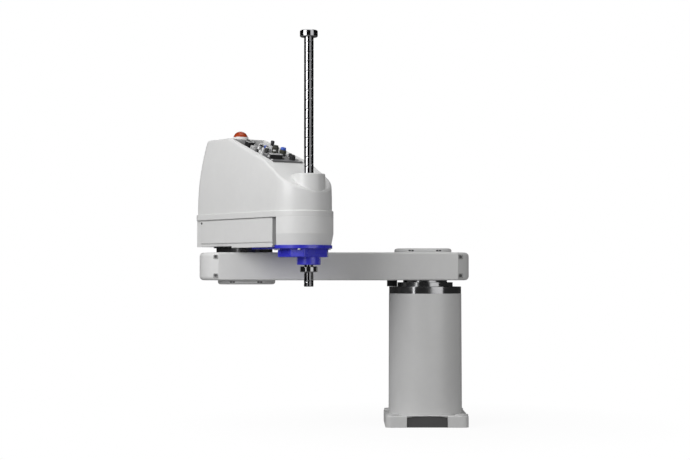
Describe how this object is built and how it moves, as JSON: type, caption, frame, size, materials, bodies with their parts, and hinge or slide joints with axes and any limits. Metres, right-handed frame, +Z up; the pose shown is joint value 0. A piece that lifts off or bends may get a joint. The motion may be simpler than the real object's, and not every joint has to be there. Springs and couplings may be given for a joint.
{
  "type": "scara robot",
  "caption": "Four-axis SCARA robot arm on a round column with a square foot: two horizontal arms and a vertical ball-screw spline shaft with stop collars.",
  "frame": {"origin": "centre of the foot's underside, on the shoulder axis", "axes": "+Z up along the shoulder axis; -X along the upper arm at rest; -Y is the front, away from the connector panel"},
  "size_m": [0.6064, 0.3663, 0.841],
  "materials": {
    "white_casting": "smooth semi-gloss light grey paint",
    "white_cover": "smooth moulded light grey plastic",
    "light_plastic": "moulded light grey plastic",
    "machined_steel": "turned bright steel",
    "black_steel": "blackened steel",
    "shaft_steel": "ground and polished hardened steel",
    "blue_resin": "moulded deep blue resin",
    "panel_grey": "painted grey sheet",
    "black_plastic": "black moulded plastic",
    "fitting_body": "dark moulded plastic",
    "blue_ring": "bright blue plastic",
    "pale_ring": "white plastic",
    "orange_lens": "orange translucent dome",
    "motor_black": "black painted motor case",
    "plated_steel": "zinc-plated steel",
    "bracket_metal": "machined aluminium",
    "belt_rubber": "black toothed belt"
  },
  "bodies": {
    "base": {"base_casting": "white_casting", "connector_panel": "panel_grey", "power_connector": "black_plastic", "signal_connector": "black_plastic", "base_air_fittings": "fitting_body", "shoulder_reducer_housing": "machined_steel", "shoulder_fixed_stop": "black_steel", "shoulder_motor": "motor_black", "shoulder_motor_encoder": "black_plastic"},
    "upper_arm": {"upper_arm_casting": "white_casting", "shoulder_output_flange": "machined_steel", "shoulder_stop_block": "black_steel", "shoulder_joint_cover": "light_plastic", "elbow_joint_cover": "light_plastic", "joint_cover_screws": "black_steel", "elbow_end_cap": "light_plastic", "shoulder_end_cap": "light_plastic", "end_cap_screws": "plated_steel", "elbow_reducer_housing": "machined_steel"},
    "forearm": {"forearm_casting": "white_casting", "elbow_output_flange": "machined_steel", "near_side_panel": "light_plastic", "far_side_panel": "light_plastic", "head_cover": "white_cover", "nose_guard": "blue_resin", "nose_guard_screws": "plated_steel", "spline_nut_bearing": "machined_steel", "ball_nut_bearing": "machined_steel", "nut_bracket": "bracket_metal", "roll_motor_bracket": "bracket_metal", "lift_motor_bracket": "bracket_metal", "elbow_motor": "motor_black", "elbow_motor_encoder": "black_plastic", "roll_motor": "motor_black", "roll_motor_encoder": "black_plastic", "lift_motor": "motor_black", "lift_motor_encoder": "black_plastic", "roll_belt": "belt_rubber", "lift_belt": "belt_rubber", "user_panel": "panel_grey", "large_air_fittings": "fitting_body", "large_air_fitting_rings": "blue_ring", "small_air_fittings": "fitting_body", "small_air_fitting_rings": "blue_ring", "user_connector_large": "black_plastic", "user_connector_small": "black_plastic", "network_socket": "black_plastic", "brake_button_guard": "black_plastic", "lamp_base": "light_plastic", "lamp_dome": "orange_lens"},
    "roll": {"spline_nut": "machined_steel", "roll_shaft_pulley": "bracket_metal"},
    "lift": {"spline_shaft": "shaft_steel", "top_stop_collar": "black_steel", "bottom_stop_collar": "black_steel"},
    "lift_nut": {"ball_screw_nut": "machined_steel", "lift_shaft_pulley": "bracket_metal"},
    "roll_drive": {"roll_motor_pulley": "bracket_metal"},
    "lift_drive": {"lift_motor_pulley": "bracket_metal"},
    "brake_button": {"brake_release_button": "black_plastic"}
  },
  "joints": [
    {"name": "shoulder", "type": "hinge", "parent": "base", "child": "upper_arm", "pos_m": [0, 0, 0.3], "axis": [0, 0, 1], "range_deg": [-61, 241]},
    {"name": "elbow", "type": "hinge", "parent": "upper_arm", "child": "forearm", "pos_m": [-0.4, 0, 0.38], "axis": [0, 0, 1], "range_deg": [-271, 19]},
    {"name": "roll", "type": "hinge", "parent": "forearm", "child": "roll", "pos_m": [-0.25305, -0.20225, 0.4], "axis": [0, 0, 1], "range_deg": [-360, 360]},
    {"name": "lift", "type": "slide", "parent": "roll", "child": "lift", "axis": [0, 0, 1], "range_m": [-0.33, 0]},
    {"name": "nut_spin", "type": "hinge", "parent": "roll", "child": "lift_nut", "pos_m": [-0.25305, -0.20225, 0.45], "axis": [0, 0, 1], "range_deg": [-5950, 10]},
    {"name": "lift_motor_spin", "type": "hinge", "parent": "forearm", "child": "lift_drive", "pos_m": [-0.30713, -0.12782, 0.45], "axis": [0, 0, 1], "range_deg": [-9662.5, 10]},
    {"name": "roll_motor_spin", "type": "hinge", "parent": "forearm", "child": "roll_drive", "pos_m": [-0.34592, -0.07443, 0.41], "axis": [0, 0, 1], "range_deg": [-586, 586]},
    {"name": "brake_release", "type": "slide", "parent": "forearm", "child": "brake_button", "axis": [-0.1601, 0.2203, -0.9622], "range_m": [0, 0.002], "stiffness_N_per_m": 300, "springref_m": -0.001}
  ],
  "couplings": [
    {"joint": "nut_spin", "follows": "lift", "rad_per_m": 314.16},
    {"joint": "lift_motor_spin", "follows": "lift", "rad_per_m": 510.51},
    {"joint": "roll_motor_spin", "follows": "roll", "ratio": 1.625}
  ]
}
